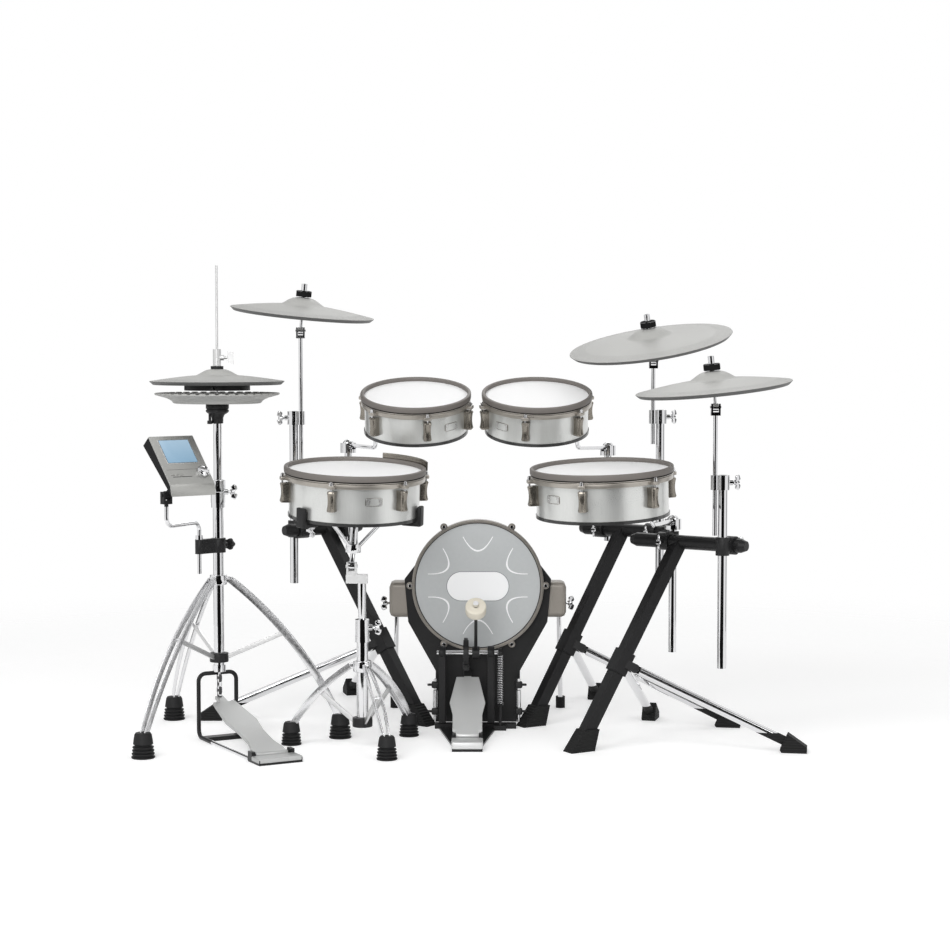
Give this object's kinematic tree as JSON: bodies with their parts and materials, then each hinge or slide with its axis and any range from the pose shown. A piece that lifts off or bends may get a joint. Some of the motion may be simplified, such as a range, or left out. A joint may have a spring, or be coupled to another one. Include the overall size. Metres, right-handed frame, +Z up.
{
  "type": "electronic drum kit",
  "caption": "Free-standing electronic drum kit: mesh-head pads and rubber cymbals on folding tripods, hi-hat and snare stands, kick tower with pedal, sound module.",
  "frame": {"origin": "on the floor under the kick pedal's axle", "axes": "+X to the player's right along the kit's width, +Y away from the player, +Z up"},
  "size_m": [1.5485, 1.0199, 1.124],
  "materials": {
    "chrome": "polished",
    "black_metal": "satin",
    "black_plastic": "matte",
    "shell_sparkle": "silver sparkle, gloss",
    "taupe_rim": "matte",
    "mesh_head": "fine mesh",
    "cymbal_rubber": "matte",
    "kick_head": "satin",
    "taupe_metal": "satin metallic",
    "aluminium": "satin",
    "felt": "felt",
    "spring_steel": "bright",
    "module_metal": "brushed"
  },
  "bodies": {
    "base": {"rack_legs": "black_metal", "rack_bars": "black_metal", "rack_posts": "chrome", "tube_clamps": "black_plastic", "wing_bolts": "chrome", "cymbal_rods": "chrome", "hihat_tubes": "chrome", "hihat_bottom_cymbal": "cymbal_rubber", "hihat_pedal_frame": "black_metal", "hihat_tripod": "chrome", "snare_lower_tube": "chrome", "snare_tripod": "chrome", "kick_hoop": "taupe_metal", "kick_head": "kick_head", "kick_plate": "black_metal", "kick_housings": "taupe_metal", "kick_spurs": "chrome", "pedal_base": "black_metal", "pedal_frame": "black_metal", "pedal_spring": "spring_steel"},
    "snare_column": {"snare_upper_tube": "chrome"},
    "snare": {"snare_basket": "chrome", "snare_shell": "shell_sparkle", "snare_hoop": "taupe_rim", "snare_head": "mesh_head"},
    "hihat_footboard": {"hihat_footboard": "aluminium"},
    "hihat_pull": {"hihat_pull_rod": "chrome", "hihat_top_cymbal": "cymbal_rubber", "hihat_sensor": "black_plastic"},
    "pedal_footboard": {"pedal_footboard": "aluminium"},
    "beater": {"pedal_axle": "chrome", "pedal_beater": "felt"},
    "module_arm": {"module_arm": "chrome"},
    "module": {"module_case": "black_plastic", "module_face": "module_metal"},
    "module_dial": {"module_dial": "chrome"},
    "tom_1": {"tom_1_shell": "shell_sparkle", "tom_1_hoop": "taupe_rim", "tom_1_head": "mesh_head", "tom_1_rod": "chrome"},
    "tom_2": {"tom_2_shell": "shell_sparkle", "tom_2_hoop": "taupe_rim", "tom_2_head": "mesh_head", "tom_2_rod": "chrome"},
    "floor_tom": {"floor_tom_shell": "shell_sparkle", "floor_tom_hoop": "taupe_rim", "floor_tom_head": "mesh_head", "floor_tom_rod": "chrome"},
    "crash_left_tilter": {"crash_left_tilter": "black_metal"},
    "crash_left_cymbal": {"crash_left_cymbal": "cymbal_rubber"},
    "ride_tilter": {"ride_tilter": "black_metal"},
    "ride_cymbal": {"ride_cymbal": "cymbal_rubber"},
    "crash_right_tilter": {"crash_right_tilter": "black_metal"},
    "crash_right_cymbal": {"crash_right_cymbal": "cymbal_rubber"},
    "left_side_brace": {"left_side_brace": "chrome"},
    "left_back_brace": {"left_back_brace": "chrome"},
    "rear_side_brace": {"rear_side_brace": "chrome"},
    "rear_back_brace": {"rear_back_brace": "chrome"},
    "front_side_brace": {"front_side_brace": "chrome"},
    "front_back_brace": {"front_back_brace": "chrome"}
  },
  "joints": [
    {"name": "left_side_fold", "type": "hinge", "parent": "base", "child": "left_side_brace", "pos_m": [-0.26572, 0.1165, 0.18188], "axis": [-0.1194, -0.9452, 0.304], "range_deg": [0, 75]},
    {"name": "left_back_fold", "type": "hinge", "parent": "base", "child": "left_back_brace", "pos_m": [-0.24054, 0.14997, 0.18224], "axis": [-0.8718, -0.3722, -0.3185], "range_deg": [0, 75]},
    {"name": "rear_side_fold", "type": "hinge", "parent": "base", "child": "rear_side_brace", "pos_m": [0.26684, 0.08122, 0.1838], "axis": [0.0292, 0.9532, -0.3009], "range_deg": [0, 8]},
    {"name": "rear_back_fold", "type": "hinge", "parent": "base", "child": "rear_back_brace", "pos_m": [0.24274, 0.11977, 0.18435], "axis": [-0.8657, 0.3848, 0.3201], "range_deg": [0, 75]},
    {"name": "front_side_fold", "type": "hinge", "parent": "base", "child": "front_side_brace", "pos_m": [0.3727, -0.24648, 0.18333], "axis": [0.0248, 0.9502, -0.3106], "range_deg": [0, 75]},
    {"name": "front_back_fold", "type": "hinge", "parent": "base", "child": "front_back_brace", "pos_m": [0.34901, -0.2081, 0.18374], "axis": [-0.8574, 0.399, 0.325], "range_deg": [0, 75]},
    {"name": "tom_1_tilt", "type": "hinge", "parent": "base", "child": "tom_1", "pos_m": [-0.3214, 0.22533, 0.684], "axis": [1, 0, 0], "range_deg": [-8, 8]},
    {"name": "tom_2_tilt", "type": "hinge", "parent": "base", "child": "tom_2", "pos_m": [0.33815, 0.23507, 0.677], "axis": [1, 0, 0], "range_deg": [-8, 8]},
    {"name": "floor_tom_tilt", "type": "hinge", "parent": "base", "child": "floor_tom", "pos_m": [0.47251, -0.10578, 0.518], "axis": [1, 0, 0], "range_deg": [-8, 8]},
    {"name": "crash_left_tilt", "type": "hinge", "parent": "base", "child": "crash_left_tilter", "pos_m": [-0.43961, 0.20702, 0.97253], "axis": [1, 0, 0], "range_deg": [-20, 20]},
    {"name": "crash_left_swing", "type": "hinge", "parent": "crash_left_tilter", "child": "crash_left_cymbal", "pos_m": [-0.4318, 0.2018, 1.05077], "axis": [1, 0, 0], "range_deg": [-4, 4], "stiffness_Nm_per_rad": 12},
    {"name": "ride_tilt", "type": "hinge", "parent": "base", "child": "ride_tilter", "pos_m": [0.44459, 0.14299, 0.89756], "axis": [1, 0, 0], "range_deg": [-20, 20]},
    {"name": "ride_swing", "type": "hinge", "parent": "ride_tilter", "child": "ride_cymbal", "pos_m": [0.43192, 0.12904, 0.97407], "axis": [1, 0, 0], "range_deg": [-4, 4], "stiffness_Nm_per_rad": 12},
    {"name": "crash_right_tilt", "type": "hinge", "parent": "base", "child": "crash_right_tilter", "pos_m": [0.5542, -0.2656, 0.79351], "axis": [1, 0, 0], "range_deg": [-20, 20]},
    {"name": "crash_right_swing", "type": "hinge", "parent": "crash_right_tilter", "child": "crash_right_cymbal", "pos_m": [0.54597, -0.26945, 0.87179], "axis": [1, 0, 0], "range_deg": [-4, 4], "stiffness_Nm_per_rad": 12},
    {"name": "snare_height", "type": "slide", "parent": "base", "child": "snare_column", "axis": [0, 0, 1], "range_m": [-0.04, 0.05]},
    {"name": "snare_tilt", "type": "hinge", "parent": "snare_column", "child": "snare", "pos_m": [-0.287, -0.24, 0.424], "axis": [1, 0, 0], "range_deg": [-10, 12]},
    {"name": "hihat_press", "type": "hinge", "parent": "base", "child": "hihat_footboard", "pos_m": [-0.46092, -0.4023, 0.014], "axis": [-0.8771, -0.4802, 0], "range_deg": [0, 3], "stiffness_Nm_per_rad": 40, "springref_deg": -17.19},
    {"name": "hihat_pull", "type": "slide", "parent": "base", "child": "hihat_pull", "axis": [0, 0, -1], "range_m": [0, 0.0162]},
    {"name": "pedal_press", "type": "hinge", "parent": "base", "child": "pedal_footboard", "pos_m": [-0.018, -0.236, 0.024], "axis": [-1, 0, 0], "range_deg": [0, 7], "stiffness_Nm_per_rad": 15, "springref_deg": -11.46},
    {"name": "beater_swing", "type": "hinge", "parent": "base", "child": "beater", "pos_m": [0, 0, 0.186], "axis": [-1, 0, 0], "range_deg": [0, 56.3], "deforming": ["pedal_spring"]},
    {"name": "module_swivel", "type": "hinge", "parent": "base", "child": "module_arm", "pos_m": [-0.65, -0.17, 0.462], "axis": [0, 0, 1], "range_deg": [-35, 35]},
    {"name": "module_tilt", "type": "hinge", "parent": "module_arm", "child": "module", "pos_m": [-0.709, -0.293, 0.592], "axis": [0.766, 0.6428, 0], "range_deg": [-15, 20]},
    {"name": "dial_turn", "type": "hinge", "parent": "module", "child": "module_dial", "pos_m": [-0.62428, -0.29803, 0.64569], "axis": [0.4851, -0.5781, 0.6561], "continuous": true}
  ],
  "couplings": [
    {"joint": "hihat_pull", "follows": "hihat_press", "m_per_rad": 0.305},
    {"joint": "beater_swing", "follows": "pedal_press", "ratio": 7.94}
  ]
}
